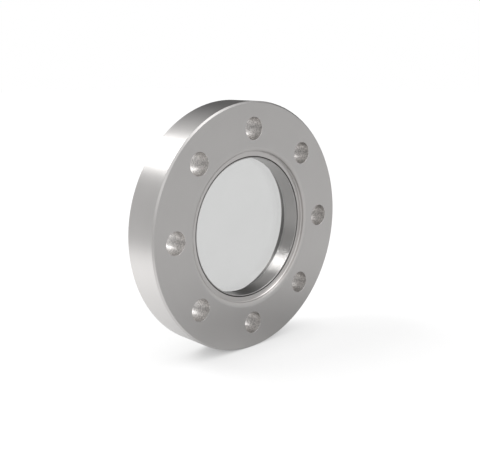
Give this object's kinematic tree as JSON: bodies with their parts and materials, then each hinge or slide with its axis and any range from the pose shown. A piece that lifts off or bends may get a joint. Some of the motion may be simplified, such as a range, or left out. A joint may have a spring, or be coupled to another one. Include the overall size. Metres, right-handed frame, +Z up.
{
  "type": "vacuum viewport",
  "caption": "Round flanged window for a vacuum chamber: a glass disc sealed into a bolted knife-edge flange.",
  "frame": {"origin": "centre of the bolt circle on the rim face of the vacuum side, the face that meets the port", "axes": "+Y along the viewport's axis, out of the vacuum side into the port; the air side faces -Y; +Z up, through a bolt hole"},
  "size_m": [0.1168, 0.0175, 0.1168],
  "materials": {
    "stainless_flange": "turned stainless steel, fine lathe lines",
    "stainless_sleeve": "smooth bored stainless steel",
    "weld_seam": "heat-tinted weld metal",
    "glass_sealing_alloy": "darker satin alloy, oxidised for the glass seal",
    "braze": "smooth braze fillet",
    "window_glass": "polished clear glass"
  },
  "bodies": {
    "root": {"flange": "stainless_flange", "sleeve": "stainless_sleeve", "sleeve_weld": "weld_seam", "glass_ring": "glass_sealing_alloy", "ring_braze": "braze", "window_glass": "window_glass"}
  },
  "joints": []
}
